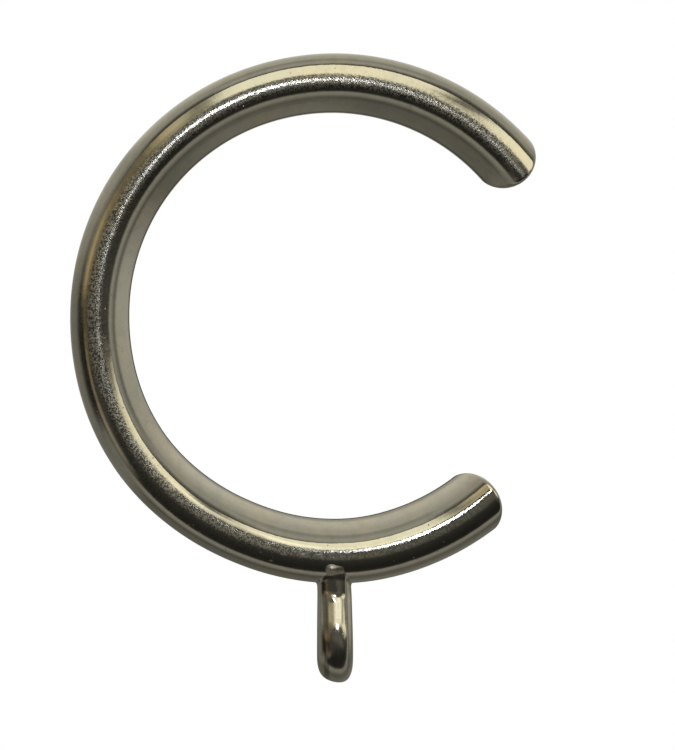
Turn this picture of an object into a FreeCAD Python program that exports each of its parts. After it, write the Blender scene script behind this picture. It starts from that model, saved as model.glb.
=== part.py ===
"""Curtain ring: an open ring bent from round rod, with a small wire eye welded under it.

Frame, in millimetres: the ring lies in the XZ plane and hangs the way it is used.
+Z is up, Y is the axis of the ring (the direction of the pole), the mouth of the C
opens towards +X and the eye hangs below. The origin is the centre of the ring.

Angles around the ring are counted from +X towards +Z.
"""
import FreeCAD
import Part
import math
import os

V = FreeCAD.Vector

# ---- driving dimensions -------------------------------------------------
ring_inner_d = 38.0        # clear diameter inside the ring, for a 28 mm pole
rod_d = 5.0                # round rod the ring is bent from

end_top_deg = 43.07        # centre of the upper nose
end_low_deg = -53.75       # centre of the lower one
# Each end is cropped to a half-round nose, square to the face it was struck from, and
# is rolled over to a dome on the far side. The struck face looks along -Y and towards
# the inside of the ring: drift along the ring's radius for each mm of Y.
drift_top = 0.574
drift_low = 0.697
nose_margin = 0.04         # the crop is this much wider than the rod, so it leaves no shoulder
edge_break = 0.30          # rounding of the cropped edge

eye_wire_d = 3.0           # wire of the eye
eye_shift_x = 0.10         # the eye sits a hair off the vertical
eye_twist_deg = -5.5       # and was welded on slightly turned about the vertical
# The eye is a pear-shaped loop, the same to both sides. Its centre line, from its widest
# point: down round a shoulder and along a flat bottom, up round a wider shoulder, along a
# leaning leg and through a bend to the foot, which goes into the rod. The angles are those
# of the outside of the wire above the horizontal.
eye_half_w = 3.7           # from the middle of the eye to the widest point
eye_wide_z = -27.6         # height of the widest point
eye_low_r, eye_low_deg = 1.6, 55.0
eye_high_r, eye_leg_deg = 3.0, 40.0
eye_leg = 1.5
eye_bend_r, eye_foot_deg = 2.6, 17.0
eye_foot_in = 0.82         # the foot ends this far from the middle, inside the rod

# ---- derived ------------------------------------------------------------
rod_r = rod_d / 2.0
ring_r = ring_inner_d / 2.0 + rod_r            # radius of the rod's centre line
join = 16.0                                    # degrees of rod that each end piece carries behind its nose


def on_ring(deg):
    """Point of the rod's centre line."""
    a = math.radians(deg)
    return V(ring_r * math.cos(a), 0, ring_r * math.sin(a))


def rod_arc(start_deg, sweep_deg):
    """The round rod bent to the ring's radius, from start_deg on for sweep_deg."""
    a = math.radians(start_deg)
    along = V(-math.sin(a), 0, math.cos(a))
    section = Part.Face(Part.Wire(Part.makeCircle(rod_r, on_ring(start_deg), along)))
    # a turn about -Y carries +X to +Z
    return section.revolve(V(0, 0, 0), V(0, -1, 0), sweep_deg)


def rod_end(deg, drift, into_gap):
    """The last stretch of rod with its nose centred at deg. into_gap is +1 where the
    gap lies towards smaller angles and -1 where it lies towards larger ones."""
    a = math.radians(deg)
    er = V(math.cos(a), 0, math.sin(a))
    struck = (er * drift + V(0, 1, 0)) * -1.0
    struck.normalize()
    centre = on_ring(deg)
    nose = rod_r + nose_margin
    behind = rod_arc(deg, join) if into_gap > 0 else rod_arc(deg - join, join)
    beyond = rod_arc(deg - join, join) if into_gap > 0 else rod_arc(deg, join)
    # half a round post towards the struck face, half a ball away from it
    form = Part.makeCylinder(nose, 2.0 * rod_d, centre, struck).fuse(Part.makeSphere(nose, centre, struck))
    end = behind.fuse(beyond.common(form)).removeSplitter().Solids[0]
    crop_edges = []
    for edge in end.Edges:
        faces = end.ancestorsOfType(edge, Part.Face)
        kinds = set(f.Surface.TypeId for f in faces)
        if len(faces) == 2 and len(kinds) == 2 and "Part::GeomToroid" in kinds and "Part::GeomPlane" not in kinds:
            crop_edges.append(edge)
    return end.makeFillet(edge_break, crop_edges)


# ---- the ring: the bent rod between its two cropped ends ----------------
main = rod_arc(end_top_deg + join, 360.0 + end_low_deg - end_top_deg - 2.0 * join)
ring = main.fuse([rod_end(end_top_deg, drift_top, 1.0), rod_end(end_low_deg, drift_low, -1.0)])
ring = ring.removeSplitter()
ring = ring.Solids[0]

# ---- the eye: a wire loop whose two feet are fitted to the rod ----------
def polar(centre, radius, deg):
    """Point of the eye's plane, as (distance from the middle, height)."""
    a = math.radians(deg)
    return (centre[0] + radius * math.cos(a), centre[1] + radius * math.sin(a))


def half_eye(side):
    """One half of the wire loop, from the middle of its bottom up to its foot."""
    twist = math.radians(eye_twist_deg)
    across = V(-math.sin(twist), math.cos(twist), 0) * side

    def at(point):
        return V(eye_shift_x, 0, 0) + across * point[0] + V(0, 0, point[1])

    def arc(centre, radius, start_deg, end_deg):
        middle = (start_deg + end_deg) / 2.0
        return Part.Arc(*[at(polar(centre, radius, d)) for d in (start_deg, middle, end_deg)]).toShape()

    low = (eye_half_w - eye_low_r, eye_wide_z)
    corner = polar(low, eye_low_r, -eye_low_deg)
    bottom_r = corner[0] / math.cos(math.radians(eye_low_deg))
    bottom = (0.0, corner[1] + bottom_r * math.sin(math.radians(eye_low_deg)))
    high = (eye_half_w - eye_high_r, eye_wide_z)
    leg_low = polar(high, eye_high_r, eye_leg_deg)
    leg_high = polar(leg_low, eye_leg, eye_leg_deg + 90.0)
    bend = polar(leg_high, eye_bend_r, eye_leg_deg)
    foot_low = polar(bend, eye_bend_r, eye_foot_deg + 180.0)
    foot = polar(foot_low, (foot_low[0] - eye_foot_in) / math.sin(math.radians(eye_foot_deg)), eye_foot_deg + 90.0)
    path = Part.Wire([
        arc(bottom, bottom_r, -90.0, -eye_low_deg),
        arc(low, eye_low_r, -eye_low_deg, 0.0),
        arc(high, eye_high_r, 0.0, eye_leg_deg),
        Part.makeLine(at(leg_low), at(leg_high)),
        arc(bend, eye_bend_r, eye_leg_deg + 180.0, eye_foot_deg + 180.0),
        Part.makeLine(at(foot_low), at(foot)),
    ])
    start = at((0.0, bottom[1] - bottom_r))
    section = Part.Wire(Part.makeCircle(eye_wire_d / 2.0, start, across))
    return path.makePipeShell([section], True, True)


eye = half_eye(-1.0).fuse(half_eye(1.0)).removeSplitter()
eye = eye.cut(rod_arc(220.0, 100.0))
eye = sorted(eye.Solids, key=lambda s: -s.Volume)[0]

os.makedirs("parts", exist_ok=True)
for name, shape in (("ring", ring), ("eye", eye)):
    shape.exportStep("parts/%s.step" % name)
    b = shape.optimalBoundingBox(False, False)
    print(name, shape.ShapeType, "valid", shape.isValid(), "faces", len(shape.Faces),
          "volume %.2f mm3" % shape.Volume,
          "box X %.2f %.2f Y %.2f %.2f Z %.2f %.2f" % (b.XMin, b.XMax, b.YMin, b.YMax, b.ZMin, b.ZMax))
print("overlap of ring and eye: %.6f mm3, gap %.6f mm" % (ring.common(eye).Volume, ring.distToShape(eye)[0]))
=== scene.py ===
import math
import bpy
import numpy as np
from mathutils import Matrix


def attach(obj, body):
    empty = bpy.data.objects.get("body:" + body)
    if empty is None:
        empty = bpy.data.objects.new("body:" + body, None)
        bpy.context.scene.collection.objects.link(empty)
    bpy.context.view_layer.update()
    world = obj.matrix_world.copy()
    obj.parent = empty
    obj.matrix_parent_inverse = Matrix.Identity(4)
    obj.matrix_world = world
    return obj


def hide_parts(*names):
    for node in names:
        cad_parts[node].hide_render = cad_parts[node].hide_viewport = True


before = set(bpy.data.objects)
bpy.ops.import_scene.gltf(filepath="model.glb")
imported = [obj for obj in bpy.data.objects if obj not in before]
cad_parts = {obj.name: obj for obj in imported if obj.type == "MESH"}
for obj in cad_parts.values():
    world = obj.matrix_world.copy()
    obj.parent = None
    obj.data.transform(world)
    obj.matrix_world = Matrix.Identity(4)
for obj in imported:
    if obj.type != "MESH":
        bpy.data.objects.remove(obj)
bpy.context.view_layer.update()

MM = 0.001

# ------------------------------------------------------------------ sizes, as in the CAD (mm)
RING_R = 21.5              # centre line of the rod
ROD_R = 2.5
TOP_DEG, LOW_DEG = 43.07, -53.75     # centres of the two noses
TOP_DRIFT, LOW_DRIFT = 0.574, 0.697
NOSE_R = 2.54
EDGE = 0.30
WIRE_R = 1.5
EYE_X = 0.10
TWIST = math.radians(-5.5)
EYE_AXIS = np.array([math.cos(TWIST), math.sin(TWIST), 0.0])
EYE_ACROSS = np.array([-math.sin(TWIST), math.cos(TWIST), 0.0])
HALF_W, WIDE_Z = 3.7, -27.6
LOW_R, LOW_A, HIGH_R, LEG_A, LEG, BEND_R, FOOT_A, FOOT_IN = 1.6, 55.0, 3.0, 40.0, 1.5, 2.6, 17.0, 0.82
FLAT, FLAT_R, FLAT_AT = 0.20, 3.0, 0.15

Y = np.array([0.0, 1.0, 0.0])


def er_at(deg):
    a = math.radians(deg)
    return np.array([math.cos(a), 0.0, math.sin(a)])


def along_at(deg):
    a = math.radians(deg)
    return np.array([-math.sin(a), 0.0, math.cos(a)])


# ------------------------------------------------------------------ distances (mm)
def d_rod(p):
    return np.hypot(np.hypot(p[..., 0], p[..., 2]) - RING_R, p[..., 1]) - ROD_R


def polar(c, r, deg):
    t = math.radians(deg)
    return (c[0] + r * math.cos(t), c[1] + r * math.sin(t))


def eye_path():
    """The eye's centre line as arcs and lines of its plane: (distance from the middle, height)."""
    low = (HALF_W - LOW_R, WIDE_Z)
    corner = polar(low, LOW_R, -LOW_A)
    r = corner[0] / math.cos(math.radians(LOW_A))
    bottom = (0.0, corner[1] + r * math.sin(math.radians(LOW_A)))
    high = (HALF_W - HIGH_R, WIDE_Z)
    leg0 = polar(high, HIGH_R, LEG_A)
    leg1 = polar(leg0, LEG, LEG_A + 90)
    bend = polar(leg1, BEND_R, LEG_A)
    foot0 = polar(bend, BEND_R, FOOT_A + 180)
    foot1 = polar(foot0, (foot0[0] - FOOT_IN) / math.sin(math.radians(FOOT_A)), FOOT_A + 90)
    return ([(bottom, r, -90, -LOW_A), (low, LOW_R, -LOW_A, 0), (high, HIGH_R, 0, LEG_A),
             (bend, BEND_R, FOOT_A + 180, LEG_A + 180)], [(leg0, leg1), (foot0, foot1)])


ARCS, LINES = eye_path()


def d_eye(p):
    # the loop leans a little to the right and its bottom hangs a little lower
    lean, sag = np.clip((-22.6 - p[..., 2]) / 1.6, 0, 1), np.clip((-28.2 - p[..., 2]) / 2.5, 0, 1)
    q = p - np.array([EYE_X, 0.0, 0.0]) + np.stack([-0.09 * lean, 0 * lean, 0.13 * sag], -1)
    h = q @ EYE_AXIS
    u, v = np.abs(q @ EYE_ACROSS), q[..., 2]
    best, out = np.full(u.shape, 1e9), np.zeros(u.shape)     # out: how far outside the centre line
    for c, r, a0, a1 in ARCS:
        du, dv = u - c[0], v - c[1]
        middle = math.radians((a0 + a1) / 2)
        off = np.arctan2(-du * math.sin(middle) + dv * math.cos(middle), du * math.cos(middle) + dv * math.sin(middle))
        s = (np.hypot(du, dv) - r) * (-1 if a0 > 90 else 1)
        s = np.where(np.abs(off) <= math.radians((a1 - a0) / 2) + 1e-6, s, 1e9)
        out = np.where(np.abs(s) < best, s, out)
        best = np.minimum(best, np.abs(s))
    for (u0, v0), (u1, v1) in LINES:
        n = math.hypot(u1 - u0, v1 - v0)
        t = np.clip(((u - u0) * (u1 - u0) + (v - v0) * (v1 - v0)) / n / n, 0, 1)
        d = np.hypot(u - u0 - t * (u1 - u0), v - v0 - t * (v1 - v0))
        s = ((u - u0) * (v1 - v0) - (v - v0) * (u1 - u0)) / n
        out = np.where(d < best, s, out)
        best = np.minimum(best, d)
    round_ = np.hypot(best, h) - WIRE_R
    # the outside of the loop is a little flattened, more to the right
    flat = np.hypot(out - (WIRE_R - FLAT - FLAT_R), h - FLAT_AT) - FLAT_R
    k = 0.18
    m = np.clip(0.5 + 0.5 * (round_ - flat) / k, 0, 1)
    return flat + (round_ - flat) * m + k * m * (1 - m)


def gradient(fn, p, h=2e-3):
    g = np.empty_like(p)
    for k in range(3):
        e = np.zeros(3)
        e[k] = h
        g[..., k] = fn(p + e) - fn(p - e)
    return g / np.maximum(np.linalg.norm(g, axis=-1, keepdims=True), 1e-12)


def d_form(p, centre, struck):
    q = p - centre
    a = np.maximum(q @ struck, 0.0)
    return np.linalg.norm(q - a[..., None] * struck, axis=-1) - NOSE_R


def d_nose(p, centre, struck):
    """The rod cropped by the form, with the edge between them rolled to EDGE."""
    form = lambda q: d_form(q, centre, struck)
    a, b = d_rod(p) + EDGE, form(p) + EDGE
    c = np.clip((gradient(d_rod, p) * gradient(form, p)).sum(-1), -0.9999, 0.9999)
    corner = (a > b * c) & (b > a * c) & ((a > 0) | (b > 0))
    rolled = np.sqrt(np.maximum(a * a + b * b - 2 * a * b * c, 0) / (1 - c * c))
    return np.where(corner, rolled, np.maximum(a, b)) - EDGE


# ------------------------------------------------------------------ the rod
AROUND = 128


def nose_rows(deg, drift, into, rows):
    """Rows of points over one nose, from the rod's last section to the tip."""
    er, centre = er_at(deg), er_at(deg) * RING_R
    struck = -(er * drift + Y)
    struck /= np.linalg.norm(struck)
    eta = np.arange(AROUND) * 2 * math.pi / AROUND
    side = np.cos(eta)[:, None] * er + np.sin(eta)[:, None] * Y
    lat = np.linspace(0, math.pi / 2, rows + 1)[1:]
    d = np.cos(lat)[:, None, None] * side[None] + np.sin(lat)[:, None, None] * into
    lo, hi = np.full(d.shape[:2], 0.5), np.full(d.shape[:2], 7.0)
    for _ in range(34):
        mid = (lo + hi) / 2
        inside = d_nose(centre + d * mid[..., None], centre, struck) < 0
        lo, hi = np.where(inside, mid, lo), np.where(inside, hi, mid)
    return centre + d * lo[..., None]


def make_ring():
    steps = 500
    eta = np.arange(AROUND) * 2 * math.pi / AROUND
    rows = []
    top = nose_rows(TOP_DEG, TOP_DRIFT, -along_at(TOP_DEG), 46)
    low = nose_rows(LOW_DEG, LOW_DRIFT, along_at(LOW_DEG), 46)
    tip_top, tip_low = top[-1].mean(0), low[-1].mean(0)
    rows += list(top[:-1][::-1])
    for deg in np.linspace(TOP_DEG, 360 + LOW_DEG, steps + 1):
        er = er_at(deg)
        rows.append(er * RING_R + ROD_R * (np.cos(eta)[:, None] * er + np.sin(eta)[:, None] * Y))
    rows += list(low[:-1])
    n = len(rows)
    co = np.concatenate(rows + [tip_top[None], tip_low[None]])
    k = np.arange(AROUND)
    k1 = (k + 1) % AROUND
    faces = []
    for i in range(n - 1):
        a, b = i * AROUND, (i + 1) * AROUND
        faces += list(zip(a + k, a + k1, b + k1, b + k))
    t, l = n * AROUND, n * AROUND + 1
    faces += [(t, j1, j) for j, j1 in zip(k, k1)]
    last = (n - 1) * AROUND
    faces += [(l, last + j, last + j1) for j, j1 in zip(k, k1)]
    return co, faces


# ------------------------------------------------------------------ the eye with its weld
LUMPS = [  # small swellings of the weld: place (mm), radii, height
    ((-0.34, -2.62, -21.58), (0.40, 0.6, 0.34), 0.18),
    ((0.34, -2.60, -21.70), (0.34, 0.5, 0.14), 0.09),
    ((0.25, -2.60, -21.42), (0.60, 0.5, 0.16), 0.06),
    ((0.05, -2.85, -22.6), (0.16, 0.6, 0.80), 0.035),
    ((0.85, -2.80, -22.5), (0.18, 0.6, 0.70), 0.035),
    ((-0.35, -3.20, -23.6), (0.30, 0.5, 0.22), 0.06),
    ((0.1, 2.70, -21.70), (0.45, 0.5, 0.35), 0.10),
    ((-0.7, 2.75, -22.40), (0.40, 0.5, 0.40), 0.06),
]


def d_welded(p):
    """The wire eye, run into the rod through a small weld fillet. Closed under the rod's skin."""
    e, r = d_eye(p), d_rod(p) + 0.03
    k = 0.30
    h = np.clip(0.5 + 0.5 * (r - e) / k, 0, 1)
    u = r + (e - r) * h - k * h * (1 - h)
    for c, rad, high in LUMPS:
        u = u - high * np.exp(-((((p - np.array(c)) / np.array(rad)) ** 2).sum(-1)))
    u = np.maximum(u, -(d_rod(p) + 0.16))
    return np.maximum(np.maximum(u, e - 0.75), p[..., 2] + 20.7)


def surface_net(fn, lo, hi, step):
    """A closed quad mesh on fn = 0: one vertex in each cell that the surface crosses."""
    lo, hi = np.array(lo, float), np.array(hi, float)
    n = np.ceil((hi - lo) / step).astype(int) + 1
    g = np.stack(np.meshgrid(*[lo[k] + step * np.arange(n[k]) for k in range(3)], indexing="ij"), -1)
    v = np.empty(n)
    for i in range(0, n[0], 8):
        v[i:i + 8] = fn(g[i:i + 8])
    s = v < 0
    total = np.zeros(tuple(n - 1) + (3,))
    count = np.zeros(tuple(n - 1))
    corner = lambda a, d: a[d[0]:a.shape[0] - 1 + d[0], d[1]:a.shape[1] - 1 + d[1], d[2]:a.shape[2] - 1 + d[2]]
    C = [(i, j, k) for i in (0, 1) for j in (0, 1) for k in (0, 1)]
    for a in C:
        for axis in range(3):
            if a[axis]:
                continue
            b = tuple(1 if q == axis else a[q] for q in range(3))
            va, vb = corner(v, a), corner(v, b)
            cross = corner(s, a) != corner(s, b)
            t = np.where(cross, va / np.where(cross, va - vb, 1.0), 0.0)
            at = np.array(a, float) + t[..., None] * (np.array(b) - np.array(a))
            total += np.where(cross[..., None], at, 0)
            count += cross
    used = count > 0
    index = np.full(used.shape, -1)
    index[used] = np.arange(used.sum())
    cell = np.argwhere(used)
    co = lo + step * (cell + total[used] / count[used][:, None])
    faces = []
    for axis in range(3):
        o1, o2 = [k for k in range(3) if k != axis]
        a = [slice(None)] * 3
        b = [slice(None)] * 3
        a[axis], b[axis] = slice(0, -1), slice(1, None)
        sa, sb = s[tuple(a)], s[tuple(b)]
        where = np.argwhere(sa != sb)
        where = where[(where[:, o1] > 0) & (where[:, o2] > 0)]
        flip = sa[tuple(where.T)]
        quad = []
        for d1, d2 in ((-1, -1), (0, -1), (0, 0), (-1, 0)):
            q = where.copy()
            q[:, o1] += d1
            q[:, o2] += d2
            quad.append(index[tuple(q.T)])
        quad = np.stack(quad, 1)
        if axis == 1:
            flip = ~flip
        quad[~flip] = quad[~flip][:, ::-1]
        faces.append(quad)
    faces = np.concatenate(faces)
    for _ in range(4):                       # onto the surface itself
        h = 2e-3
        grad = np.stack([(fn(co + np.eye(3)[k] * h) - fn(co - np.eye(3)[k] * h)) / (2 * h) for k in range(3)], -1)
        co = co - np.clip(fn(co), -step, step)[:, None] * grad / np.maximum((grad ** 2).sum(-1, keepdims=True), 0.05)
    return co, faces


BENT = [(42, 0), (88, 0), (100, -.03), (130, -.03), (150, -.05), (166, -.08), (180, -.115), (190, -.07), (199, .02), (208, .09),
        (217, .12), (226, .07), (235, 0), (247, -.065), (257, -.01), (266, .05), (277, .12), (286, .08), (295, .055), (307, .05)]


def bent(co):
    """The hand-bent rod wanders a tenth of a millimetre from the true ring."""
    deg = np.degrees(np.arctan2(co[:, 2], co[:, 0])) % 360
    deg = np.where(deg < 20, deg + 360, deg)
    fine = np.arange(20.0, 380.0, 0.25)
    v = np.interp(fine, [a for a, _ in BENT], [b for _, b in BENT])
    g = np.exp(-0.5 * (np.arange(-40, 41) * 0.25 / 3.0) ** 2)
    v = np.convolve(np.pad(v, 40, "edge"), g / g.sum(), "valid")
    d = np.interp(deg, fine, v)
    rho = np.hypot(co[:, 0], co[:, 2])
    out = co.copy()
    out[:, 0] += co[:, 0] / rho * d
    out[:, 2] += co[:, 2] / rho * d
    return out


def make_object(name, co, faces):
    me = bpy.data.meshes.new(name)
    me.from_pydata((co * MM).tolist(), [], [tuple(int(i) for i in f) for f in faces])
    me.update()
    me.polygons.foreach_set("use_smooth", [True] * len(me.polygons))
    ob = bpy.data.objects.new(name, me)
    bpy.context.scene.collection.objects.link(ob)
    return ob


co, faces = make_ring()
ring = make_object("ring_rod", bent(co), faces)
co, faces = surface_net(d_welded, (-2.7, -6.1, -32.3), (2.8, 6.1, -19.4), 0.09)
eye = make_object("eye_and_weld", bent(co), faces)
normals = gradient(d_welded, co)
eye.data.normals_split_custom_set_from_vertices(normals.tolist())


# ------------------------------------------------------------------ materials
def node(tree, kind, at, **inputs):
    n = tree.nodes.new(kind)
    n.location = at
    for key, value in inputs.items():
        if key.startswith("_"):
            setattr(n, key[1:], value)
        else:
            n.inputs[key.replace("__", " ")].default_value = value
    return n


def math_node(tree, op, a, b=None, c=None, clamp=False):
    n = tree.nodes.new("ShaderNodeMath")
    n.operation = op
    n.use_clamp = clamp
    for i, v in enumerate((a, b, c)):
        if v is None:
            continue
        if isinstance(v, (int, float)):
            n.inputs[i].default_value = v
        else:
            tree.links.new(v, n.inputs[i])
    return n.outputs[0]


def ramp(tree, value, stops, interpolation="LINEAR"):
    n = tree.nodes.new("ShaderNodeValToRGB")
    n.color_ramp.interpolation = interpolation
    el = n.color_ramp.elements
    while len(el) > 1:
        el.remove(el[-1])
    for i, (pos, v) in enumerate(stops):
        e = el[0] if i == 0 else el.new(pos)
        e.position = pos
        e.color = (v, v, v, 1) if isinstance(v, (int, float)) else (*v, 1)
    tree.links.new(value, n.inputs[0])
    return n.outputs[0]


def smooth(tree, value, a, b, lo=0.0, hi=1.0):
    n = tree.nodes.new("ShaderNodeMapRange")
    n.interpolation_type = "SMOOTHSTEP"
    n.inputs["From Min"].default_value = a
    n.inputs["From Max"].default_value = b
    n.inputs["To Min"].default_value = lo
    n.inputs["To Max"].default_value = hi
    tree.links.new(value, n.inputs["Value"])
    return n.outputs["Result"]


def noise(tree, vec, scale, detail=2.0, rough=0.5, lac=2.0, distortion=0.0):
    n = tree.nodes.new("ShaderNodeTexNoise")
    n.inputs["Scale"].default_value = scale
    n.inputs["Detail"].default_value = detail
    n.inputs["Roughness"].default_value = rough
    n.inputs["Lacunarity"].default_value = lac
    n.inputs["Distortion"].default_value = distortion
    tree.links.new(vec, n.inputs["Vector"])
    return n.outputs["Fac"]


def mix(tree, kind, fac, a, b, blend="MIX"):
    n = tree.nodes.new("ShaderNodeMix")
    n.data_type = kind
    if kind == "RGBA":
        n.blend_type = blend
    ia, ib = [s for s in n.inputs if s.name in ("A", "B") and s.enabled][:2]
    out = [s for s in n.outputs if s.enabled][0]
    for s, v in ((n.inputs[0], fac), (ia, a), (ib, b)):
        if isinstance(v, (int, float)):
            s.default_value = v
        elif isinstance(v, tuple):
            s.default_value = (*v, 1)
        else:
            tree.links.new(v, s)
    return out


def plated(name, grain, rough, inner, weld=False):
    m = bpy.data.materials.new(name)
    m.use_nodes = True
    t = m.node_tree
    t.nodes.clear()
    L = t.links.new
    out = node(t, "ShaderNodeOutputMaterial", (900, 0))
    bsdf = node(t, "ShaderNodeBsdfPrincipled", (600, 0), Metallic=1.0)
    tc = node(t, "ShaderNodeTexCoord", (-1800, 0))
    mm = node(t, "ShaderNodeVectorMath", (-1600, 0), _operation="SCALE")
    mm.inputs["Scale"].default_value = 1000.0
    L(tc.outputs["Object"], mm.inputs[0])
    P = mm.outputs[0]
    # colour: warm nickel with cloudy, slightly golden and slightly grey places
    cloud = noise(t, P, 0.23, 3.0, 0.55)
    patch = noise(t, P, 1.1, 4.0, 0.6)
    warm = ramp(t, cloud, [(0.30, (0.600, 0.589, 0.523)), (0.52, (0.623, 0.600, 0.520)), (0.72, (0.645, 0.606, 0.497))])
    shade = ramp(t, patch, [(0.25, 0.90), (0.5, 1.0), (0.75, 1.05)])
    col = mix(t, "RGBA", 1.0, warm, shade, "MULTIPLY")
    # fine pits of the plate
    vor = t.nodes.new("ShaderNodeTexVoronoi")
    vor.feature = "F1"
    vor.inputs["Scale"].default_value = 1.9
    vor.inputs["Randomness"].default_value = 1.0
    L(P, vor.inputs["Vector"])
    pit_near = smooth(t, vor.outputs["Distance"], 0.05, 0.13, 1.0, 0.0)
    sel = t.nodes.new("ShaderNodeSeparateColor")
    L(vor.outputs["Color"], sel.inputs[0])
    pit = math_node(t, "MULTIPLY", pit_near, smooth(t, sel.outputs[0], 0.62, 0.70))
    col = mix(t, "RGBA", math_node(t, "MULTIPLY", pit, 0.45), col, (0.30, 0.27, 0.22))
    # how far round the rod: the side that the pole rubs is smoother, the rest has a sparkling grain
    sp = node(t, "ShaderNodeSeparateXYZ", (-1400, -600))
    L(P, sp.inputs[0])
    px, py, pz = sp.outputs
    rho = math_node(t, "SQRT", math_node(t, "ADD", math_node(t, "MULTIPLY", px, px), math_node(t, "MULTIPLY", pz, pz)))
    turn = math_node(t, "FRACT", math_node(t, "ADD", math_node(t, "DIVIDE", math_node(t, "ARCTAN2", pz, px), 2 * math.pi), 1.0))
    where = ramp(t, turn, [(0, 0), (37 / 360, 0), (41 / 360, 0.5), (46 / 360, 0.8), (84 / 360, 0.8), (100 / 360, 0.5), (138 / 360, 0.5), (154 / 360, 1), (212 / 360, 1), (228 / 360, 0.6), (245 / 360, 0.55), (285 / 360, 0.5), (305 / 360, 0.4), (310 / 360, 0.1), (313 / 360, 0), (1, 0)])
    wide = ramp(t, turn, [(0, 0.30), (118 / 360, 0.30), (150 / 360, 0.55), (190 / 360, 0.50), (206 / 360, 0.15), (245 / 360, 0), (1, 0)])
    late = ramp(t, turn, [(0, 0), (125 / 360, 0), (150 / 360, 0.3), (170 / 360, 0.3), (184 / 360, 0.14), (204 / 360, 0.1), (216 / 360, 0), (1, 0)])
    band = math_node(t, "MULTIPLY", smooth(t, math_node(t, "SUBTRACT", rho, late), 20.0, 20.5, inner, 1.0), smooth(t, math_node(t, "SUBTRACT", rho, wide), 20.7, 21.1, 1.0, 0.12))
    grainy = math_node(t, "MULTIPLY", band, where)
    speck = noise(t, P, grain * 1.25, 1.0, 0.5)
    dots = math_node(t, "MULTIPLY", math_node(t, "SUBTRACT", smooth(t, speck, 0.34, 0.66), 0.5), grainy)
    col = mix(t, "RGBA", 1.0, col, math_node(t, "MULTIPLY_ADD", dots, 0.85, 1.0), "MULTIPLY")
    if weld:                     # a darker strip of colour down the left of the wire
        side = math_node(t, "MULTIPLY", smooth(t, px, -1.22, -1.08), smooth(t, px, -0.86, -0.66, 1.0, 0.0))
        side = math_node(t, "MULTIPLY", side, smooth(t, pz, -30.6, -30.0))
        col = mix(t, "RGBA", math_node(t, "MULTIPLY", side, 0.62), col, (0.16, 0.125, 0.10))
    L(col, bsdf.inputs["Base Color"])
    # roughness
    fine = noise(t, P, grain, 2.0, 0.65)
    r1 = smooth(t, patch, 0.3, 0.75, rough * 0.85, rough * 1.3)
    satin = ramp(t, turn, [(0, 0.5), (46 / 360, 0.8), (84 / 360, 0.9), (135 / 360, 0.9), (150 / 360, 1), (212 / 360, 1), (235 / 360, 0.75), (262 / 360, 0.8), (280 / 360, 0.6), (292 / 360, 0.43), (1, 0.38)])
    r2 = math_node(t, "MULTIPLY", r1, smooth(t, math_node(t, "MULTIPLY", band, satin), 0.0, 1.0, 0.33, 1.0))
    r3 = math_node(t, "ADD", r1 if weld else r2, math_node(t, "MULTIPLY", pit, 0.15))
    if weld:
        r3 = math_node(t, "ADD", r3, smooth(t, pz, -22.4, -21.9, 0.0, 0.19))
    L(r3, bsdf.inputs["Roughness"])
    if not weld:
        lay = node(t, "ShaderNodeTangent", (350, -900), _direction_type="RADIAL", _axis="Y")
        L(lay.outputs[0], bsdf.inputs["Tangent"])
        bsdf.inputs["Anisotropic"].default_value = 0.85
    # relief: a slow waviness of the bent rod, the sparkling grain, the pits
    wave = noise(t, P, 0.8, 2.0, 0.5)
    b1 = node(t, "ShaderNodeBump", (100, -500), Strength=1.0, Distance=0.000008)
    L(wave, b1.inputs["Height"])
    b2 = node(t, "ShaderNodeBump", (250, -500), Strength=1.0, Distance=0.000024)
    L(math_node(t, "MULTIPLY", fine, grainy), b2.inputs["Height"])
    L(b1.outputs[0], b2.inputs["Normal"])
    b3 = node(t, "ShaderNodeBump", (400, -500), Strength=1.0, Distance=0.000010, _invert=True)
    L(pit, b3.inputs["Height"])
    L(b2.outputs[0], b3.inputs["Normal"])
    L(b3.outputs[0], bsdf.inputs["Normal"])
    # part of the grainy plate scatters wider
    matt = node(t, "ShaderNodeBsdfPrincipled", (600, -700), Metallic=1.0, Roughness=0.43)
    L(col, matt.inputs["Base Color"])
    L(b1.outputs[0], matt.inputs["Normal"])
    both = node(t, "ShaderNodeMixShader", (900, -300))
    share_ = ramp(t, turn, [(0, 0), (37 / 360, 0), (42 / 360, .24), (60 / 360, .28), (85 / 360, .15), (130 / 360, .14), (160 / 360, .32), (205 / 360, .40), (218 / 360, .38), (236 / 360, .30), (250 / 360, .27), (262 / 360, .19), (276 / 360, .06), (306 / 360, .04), (313 / 360, 0), (1, 0)])
    share_ = math_node(t, "MULTIPLY", math_node(t, "MULTIPLY", band, satin), share_)
    if not weld:
        share_ = math_node(t, "MULTIPLY", share_, smooth(t, speck, 0.38, 0.62, 0.2, 2.2))
    if weld:
        share_ = math_node(t, "MAXIMUM", share_, math_node(t, "MULTIPLY", smooth(t, pz, -22.4, -21.9, 0.0, 0.42), smooth(t, px, -0.1, 0.2, 1.0, 0.35)))
    else:
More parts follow.
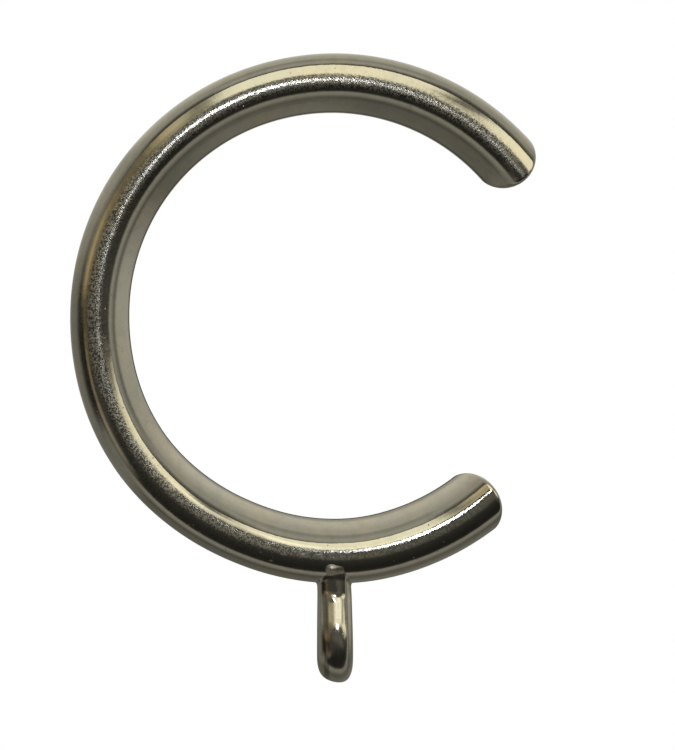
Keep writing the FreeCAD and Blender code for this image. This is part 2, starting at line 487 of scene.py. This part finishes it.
        # a few scuffs on the face of the rod: place round the ring, radius, half length in degrees, half width in mm
        rag = math_node(t, "MULTIPLY", math_node(t, "SUBTRACT", noise(t, P, 6.0, 1.0, 0.5), 0.5), 1.5)
        for at_deg, at_rho, half_deg, half_mm, level in SCUFFS:
            da = math_node(t, "DIVIDE", math_node(t, "SUBTRACT", turn, at_deg / 360), half_deg / 360)
            dr = math_node(t, "DIVIDE", math_node(t, "SUBTRACT", rho, at_rho), half_mm)
            dd = math_node(t, "ADD", math_node(t, "SQRT", math_node(t, "ADD", math_node(t, "MULTIPLY", da, da), math_node(t, "MULTIPLY", dr, dr))), rag)
            face = math_node(t, "MULTIPLY", smooth(t, dd, 0.6, 1.1, level, 0.0), math_node(t, "LESS_THAN", py, 0.0))
            share_ = math_node(t, "MAXIMUM", share_, face)
    L(share_, both.inputs[0])
    L(bsdf.outputs[0], both.inputs[1])
    L(matt.outputs[0], both.inputs[2])
    L(both.outputs[0], out.inputs[0])
    return m


SCUFFS = [(257.6, 20.86, 0.9, 0.10, 0.9), (262.2, 20.62, 0.7, 0.12, 0.9), (255.2, 21.60, 0.5, 0.09, 0.9), (252.3, 21.15, 0.35, 0.08, 0.7), (266.0, 20.55, 0.9, 0.08, 0.7)]
rod_metal = plated("plated_rod", 4.6, 0.18, 0.08)
eye_metal = plated("plated_eye", 3.2, 0.155, 0.9, True)
ring.data.materials.append(rod_metal)
eye.data.materials.append(eye_metal)

for ob, nodes_, slot in ((ring, "ring", "plated_rod"), (eye, "eye", "plated_eye")):
    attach(ob, "root")
    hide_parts(nodes_)
    for o in (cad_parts[nodes_],):
        o.data.materials.clear()
        o.data.materials.append(rod_metal if slot == "plated_rod" else eye_metal)

for ob in (ring, eye):           # keeps the far side of the ring out of the near side's reflection
    ob.visible_glossy = False

# ------------------------------------------------------------------ floor
floor_me = bpy.data.meshes.new("floor")
F = 3.0
floor_me.from_pydata([(-F, -F, -0.25), (F, -F, -0.25), (F, F, -0.25), (-F, F, -0.25)], [], [(0, 1, 2, 3)])
floor = bpy.data.objects.new("floor", floor_me)
bpy.context.scene.collection.objects.link(floor)
fm = bpy.data.materials.new("floor_pale")
fm.use_nodes = True
ft = fm.node_tree
ft.nodes.clear()
fo = node(ft, "ShaderNodeOutputMaterial", (400, 0))
fe = node(ft, "ShaderNodeEmission", (0, 0), Color=(1.0, 1.0, 1.0, 1.0), Strength=1.0)
ft.links.new(fe.outputs[0], fo.inputs[0])
floor_me.materials.append(fm)
floor.visible_glossy = False
floor.visible_diffuse = False
floor.visible_shadow = False

# ------------------------------------------------------------------ light: a pale tent with an opening in front
world = bpy.data.worlds.new("tent")
bpy.context.scene.world = world
world.use_nodes = True
w = world.node_tree
w.nodes.clear()
wo = node(w, "ShaderNodeOutputWorld", (1800, 0))
tc = node(w, "ShaderNodeTexCoord", (-1600, 0))
sep = node(w, "ShaderNodeSeparateXYZ", (-1400, 0))
w.links.new(tc.outputs["Generated"], sep.inputs[0])
x, y, z = sep.outputs
theta = math_node(w, "DIVIDE", math_node(w, "ARCCOSINE", math_node(w, "MULTIPLY", y, -1.0)), math.pi)
xx, zz = math_node(w, "MULTIPLY", x, x), math_node(w, "MULTIPLY", z, z)
r2 = math_node(w, "ADD", math_node(w, "ADD", xx, zz), 1e-6)
v2 = math_node(w, "DIVIDE", zz, r2)
D = 180.0


def by_angle(stops):
    return ramp(w, theta, [(a / D, v) for a, v in stops])


up = by_angle([(0, .11), (14, .11), (22, .06), (47, .05), (54, .08), (57, .20), (60, .37), (66, .43), (72, .39), (78, .33), (82, .33), (86, .38), (89, .48), (105, .52), (128, .64), (150, .66), (163, .46), (180, .34)])
up_side = by_angle([(0, .11), (7, .13), (12, .15), (20, .07), (47, .05), (54, .06), (58, .10), (62, .14), (66, .27), (72, .38), (80, .38), (88, .43), (105, .54), (128, .66), (150, .68), (163, .46), (180, .34)])
up_left = by_angle([(0, .10), (14, .055), (22, .038), (47, .042), (52, .11), (57, .19), (64, .27), (70, .32), (78, .37), (90, .38), (105, .40), (128, .5), (150, .5), (163, .42), (180, .30)])
down = by_angle([(0, .085), (6, .055), (12, .034), (20, .026), (28, .022), (36, .018), (47, .02), (50.5, .05), (54, .22), (58, .29), (64, .25), (69, .18), (73, .125), (77, .095), (81, .105), (86, .13), (92, .138), (120, .145), (150, .15), (165, .08), (180, .06)])
down_right = by_angle([(0, .085), (6, .055), (12, .034), (20, .026), (28, .022), (36, .018), (47, .02), (50.5, .05), (54, .22), (58, .29), (64, .25), (69, .19), (74, .14), (78, .125), (83, .14), (92, .155), (99, .19), (120, .20), (150, .20), (165, .10), (180, .06)])
right = by_angle([(0, .10), (7, .11), (12, .14), (17, .12), (24, .075), (31, .05), (49, .05), (53, .10), (57, .27), (61, .37), (65, .30), (69, .25), (74, .17), (78, .19), (82, .31), (87, .43), (100, .45), (150, .46), (165, .40), (180, .32)])
left = by_angle([(0, .08), (10, .05), (17, .06), (26, .05), (38, .035), (45, .020), (56, .021), (62, .028), (66, .05), (70, .085), (76, .14), (82, .19), (90, .20), (111, .21), (140, .30), (160, .3), (180, .08)])
low_left = by_angle([(0, .07), (20, .05), (27, .06), (34, .15), (40, .15), (48, .15), (56, .20), (70, .21), (95, .20), (130, .22), (160, .2), (180, .08)])
vert = mix(w, "RGBA", smooth(w, z, -0.10, 0.10), down, up)
around = math_node(w, "FRACT", math_node(w, "ADD", math_node(w, "DIVIDE", math_node(w, "ARCTAN2", z, x), 2 * math.pi), 1.0))


def share(stops):
    return ramp(w, around, [(a / 360.0, v) for a, v in stops])


tent = mix(w, "RGBA", share([(14, 0), (24, 1), (56, 1), (62, 0), (111, 0), (117, 1), (136, 1), (142, 0)]), vert, up_side)
tent = mix(w, "RGBA", share([(136, 0), (142, 1), (184, 1), (190, 0)]), tent, up_left)
tent = mix(w, "RGBA", share([(0, 1), (14, 1), (36, 0), (322, 0), (346, 1), (360, 1)]), tent, right)
tent = mix(w, "RGBA", share([(154, 0), (167, .45), (180, 1), (210, 1), (219, 0)]), tent, left)
tent = mix(w, "RGBA", share([(208, 0), (219, 1), (224, 1), (232, 0)]), tent, low_left)
tent = mix(w, "RGBA", share([(268, 0), (284, 1), (304, 1), (322, 0)]), tent, down_right)
# warm streaks low on the left
for by_theta, by_phi, level in (
        ([(27, 0), (35, .5), (41, 1), (46, 1), (52, .55), (57, .3), (63, 0)], [(148, 0), (155, .25), (163, .8), (171, 1), (178, .9), (184, .15), (190, 0)], .44),
        ([(32, 0), (37, 1), (42, 1), (47, 0)], [(182, 0), (190, .4), (198, .95), (208, 1), (217, 1), (224, .5), (230, 0)], .20),
        ([(8, 0), (14, 1), (44, 1), (52, 0)], [(127, 0), (136, 1), (158, 1), (172, 0)], .06)):
    streak = math_node(w, "MULTIPLY", by_angle(by_theta), share(by_phi))
    gold = mix(w, "RGBA", 1.0, math_node(w, "MULTIPLY", streak, level), (1.0, 0.80, 0.50), "MULTIPLY")
    tent = mix(w, "RGBA", 1.0, tent, gold, "ADD")
lit = mix(w, "RGBA", 1.0, tent, (1.0, 0.965, 0.84), "MULTIPLY")
bg = node(w, "ShaderNodeBackground", (1200, 0), Strength=1.0)
w.links.new(lit, bg.inputs[0])
pale = node(w, "ShaderNodeBackground", (1200, -200), Color=(1, 1, 1, 1), Strength=1.0)
lp = node(w, "ShaderNodeLightPath", (1200, 300))
mx = node(w, "ShaderNodeMixShader", (1500, 0))
w.links.new(lp.outputs["Is Camera Ray"], mx.inputs[0])
w.links.new(bg.outputs[0], mx.inputs[1])
w.links.new(pale.outputs[0], mx.inputs[2])
w.links.new(mx.outputs[0], wo.inputs[0])

# ------------------------------------------------------------------ the warm window light over the camera
# a far sheet, and a near strip along its lower rim that hides the rim from every part of the ring
def window_light(name, ahead, reach, inner, outer, solid, dim, rise):
    me = bpy.data.meshes.new(name)
    me.from_pydata([(-reach, -ahead, -0.012), (reach, -ahead, -0.012), (reach, -ahead, reach), (-reach, -ahead, reach)], [], [(0, 1, 2, 3)])
    ob = bpy.data.objects.new(name, me)
    bpy.context.scene.collection.objects.link(ob)
    ob.visible_camera = False
    ob.visible_shadow = False
    cm = bpy.data.materials.new(name)
    cm.use_nodes = True
    c = cm.node_tree
    c.nodes.clear()
    end = node(c, "ShaderNodeOutputMaterial", (900, 0))
    ctc = node(c, "ShaderNodeTexCoord", (-900, 0))
    csep = node(c, "ShaderNodeSeparateXYZ", (-700, 0))
    c.links.new(ctc.outputs["Object"], csep.inputs[0])
    cx, _, cz = csep.outputs
    turn = math_node(c, "DIVIDE", math_node(c, "ARCTAN2", cz, cx), math.pi)       # 0 right, 0.5 up, 1 left
    far = math_node(c, "SQRT", math_node(c, "ADD", math_node(c, "MULTIPLY", cx, cx), math_node(c, "MULTIPLY", cz, cz)))
    lobes = ramp(c, turn, [(q / 180, max(v, dim) if 30 < q < 115 else v * (0.8 if solid and q > 115 else 1)) for q, v in LOBES])
    lobes = math_node(c, "MULTIPLY", lobes, math_node(c, "MULTIPLY", smooth(c, cz, -0.010, 0.002), math_node(c, "MAXIMUM", smooth(c, cx, -0.002, 0.002), smooth(c, cz, 0.0, 0.004))))
    tint = ramp(c, turn, [(0, (1, .93, .70)), (110 / 180, (1, .955, .735)), (119 / 180, (1, .93, .66)), (128 / 180, (1, .86, .52)), (150 / 180, (1, .78, .40)), (1, (1, .88, .52))])
    em = node(c, "ShaderNodeEmission", (400, 100))
    c.links.new(tint, em.inputs["Color"])
    tr = node(c, "ShaderNodeBsdfTransparent", (400, -100))
    lift = ramp(c, turn, [(0, 1.1 if solid else 1), (36 / 180, 1.1 if solid else 1), (46 / 180, 0.96), (62 / 180, 0.96), (80 / 180, rise), (118 / 180, rise), (130 / 180, 1), (1, 1)])
    rim = smooth(c, math_node(c, "DIVIDE", far, lift), *inner)
    if solid:
        cut = math_node(c, "MULTIPLY", math_node(c, "MULTIPLY", rim, smooth(c, lobes, 0.0, 0.10)), math_node(c, "LESS_THAN", far, outer))
        c.links.new(math_node(c, "MULTIPLY_ADD", lobes, 1.17, 0.05), em.inputs["Strength"])
        both = node(c, "ShaderNodeMixShader", (650, 0))
        c.links.new(cut, both.inputs[0])
        c.links.new(tr.outputs[0], both.inputs[1])
        c.links.new(em.outputs[0], both.inputs[2])
    else:
        wide = ramp(c, turn, [(0, .90), (28 / 180, .90), (42 / 180, .87), (66 / 180, .87), (84 / 180, .97), (104 / 180, .98), (122 / 180, .94), (1, .94)])
        near = math_node(c, "DIVIDE", far, wide)
        m_ = math_node(c, "MULTIPLY", rim, smooth(c, near, outer * 0.97, outer * 1.03, 1.0, 0.0))
        c.links.new(math_node(c, "MULTIPLY", math_node(c, "MULTIPLY", lobes, m_), 1.17), em.inputs["Strength"])
        both = node(c, "ShaderNodeAddShader", (650, 0))
        c.links.new(em.outputs[0], both.inputs[0])
        c.links.new(tr.outputs[0], both.inputs[1])
    c.links.new(both.outputs[0], end.inputs[0])
    me.materials.append(cm)


LOBES = [(0, .30), (2, .50), (5, .72), (13, .84), (17, 1), (40, 1), (43.5, .35), (45, .08), (49.5, .08), (52, .35), (56, .95), (60, 1), (108, 1), (112, .9), (115, .5), (117, .28), (120, .18), (123, .35), (126, .50), (130, .46), (135, .24), (139, .10), (150, .06), (160, .04), (179, 0)]
window_light("window_far", 0.200, 0.40, (0.108, 0.122), 0.286, False, 0.12, 1)
window_light("window_near", 0.088, 0.08, (0.036, 0.045), 0.066, True, 0.45, 1.22)

# ------------------------------------------------------------------ a pale patch beside the lens, seen only in the metal
gm = bpy.data.meshes.new("lens_glow")
gm.from_pydata([(-0.02, -0.040, -0.01), (0.03, -0.040, -0.01), (0.03, -0.040, 0.03), (-0.02, -0.040, 0.03)], [], [(0, 1, 2, 3)])
glow = bpy.data.objects.new("lens_glow", gm)
bpy.context.scene.collection.objects.link(glow)
glow.visible_camera = False
glow.visible_shadow = False
gmat = bpy.data.materials.new("lens_glow")
gmat.use_nodes = True
g = gmat.node_tree
g.nodes.clear()
gend = node(g, "ShaderNodeOutputMaterial", (900, 0))
gtc = node(g, "ShaderNodeTexCoord", (-900, 0))
gsep = node(g, "ShaderNodeSeparateXYZ", (-700, 0))
g.links.new(gtc.outputs["Object"], gsep.inputs[0])
total = None
for gx, gz, wx, wz, level in ((0.0110, 0.0095, 0.0095, 0.0085, .46), (-0.001, 0.0100, 0.0080, 0.0055, .13)):
    dx = math_node(g, "DIVIDE", math_node(g, "SUBTRACT", gsep.outputs[0], gx), wx)
    dz = math_node(g, "DIVIDE", math_node(g, "SUBTRACT", gsep.outputs[2], gz), wz)
    dd = math_node(g, "SQRT", math_node(g, "ADD", math_node(g, "MULTIPLY", dx, dx), math_node(g, "MULTIPLY", dz, dz)))
    blob = math_node(g, "MULTIPLY", smooth(g, dd, 0.0, 1.0, 1.0, 0.0), level)
    total = blob if total is None else math_node(g, "ADD", total, blob)
gem = node(g, "ShaderNodeEmission", (400, 100), Color=(1.0, 0.97, 0.88, 1.0))
g.links.new(total, gem.inputs["Strength"])
gtr = node(g, "ShaderNodeBsdfTransparent", (400, -100))
gadd = node(g, "ShaderNodeAddShader", (650, 0))
g.links.new(gem.outputs[0], gadd.inputs[0])
g.links.new(gtr.outputs[0], gadd.inputs[1])
g.links.new(gadd.outputs[0], gend.inputs[0])
gm.materials.append(gmat)

lamp = bpy.data.lights.new("flash", "POINT")
lamp.energy = 0.0086
lamp.color = (0.88, 0.91, 1.0)
lamp.shadow_soft_size = 0.0042
lamp.cycles.max_bounces = 1
lo_ = bpy.data.objects.new("flash", lamp)
lo_.location = (-0.0019, -0.0652, 0.0138)
bpy.context.scene.collection.objects.link(lo_)

# ------------------------------------------------------------------ camera
cam = bpy.data.cameras.new("camera")
cam_ob = bpy.data.objects.new("camera", cam)
bpy.context.scene.collection.objects.link(cam_ob)
bpy.context.scene.camera = cam_ob
cam_ob.location = (-0.004331, -0.0387, 0.003632)
cam_ob.rotation_euler = (math.pi / 2, 0, 0)
cam.sensor_width = 36.0
cam.sensor_fit = "AUTO"
cam.lens = 418.69 / 750 * 36.0
cam.shift_x = (337.5 - 285.12) / 750
cam.shift_y = -(375 - 277.18) / 750
cam.clip_start, cam.clip_end = 0.001, 20.0
cam.dof.use_dof = False

view = bpy.context.scene.view_settings
view.view_transform = "Standard"
view.look = "None"
view.exposure = 0.0
view.gamma = 1.0
